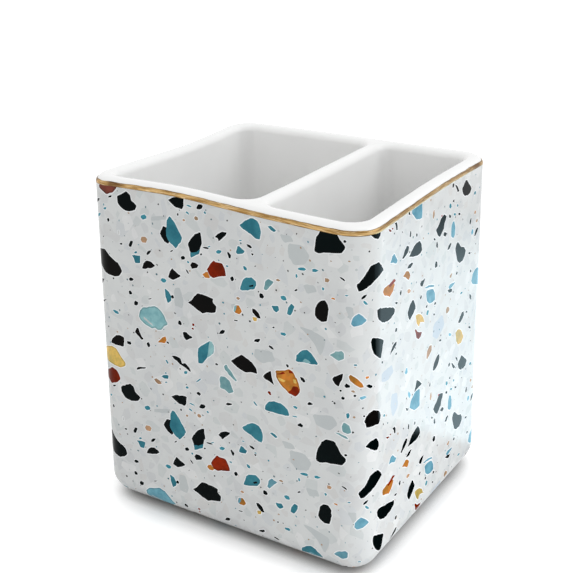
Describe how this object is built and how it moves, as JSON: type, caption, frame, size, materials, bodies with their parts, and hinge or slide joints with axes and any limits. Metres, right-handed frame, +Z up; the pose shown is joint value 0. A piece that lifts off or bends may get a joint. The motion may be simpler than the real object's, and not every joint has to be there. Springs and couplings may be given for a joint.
{
  "type": "ceramic pen holder",
  "caption": "Rounded-square ceramic desk cup with a divider that makes a wide and a narrow well, printed wrap, gold rim line and soft foot pads.",
  "frame": {"origin": "on the desk, under the middle of the holder's outer box", "axes": "+Z up, X along the wide face, which looks towards -Y; the divider stands on the +X side of the middle"},
  "size_m": [0.0888, 0.0772, 0.1],
  "materials": {
    "white_glaze": "gloss",
    "printed_glaze": "gloss over a terrazzo transfer print",
    "gold_lustre": "fired gold lustre",
    "pad_rubber": "soft satin"
  },
  "bodies": {
    "root": {"ceramic_cup": "white_glaze", "well_divider": "white_glaze", "terrazzo_print": "printed_glaze", "gold_rim_line": "gold_lustre", "foot_pad_front_left": "pad_rubber", "foot_pad_front_right": "pad_rubber", "foot_pad_back_right": "pad_rubber", "foot_pad_back_left": "pad_rubber"}
  },
  "joints": []
}
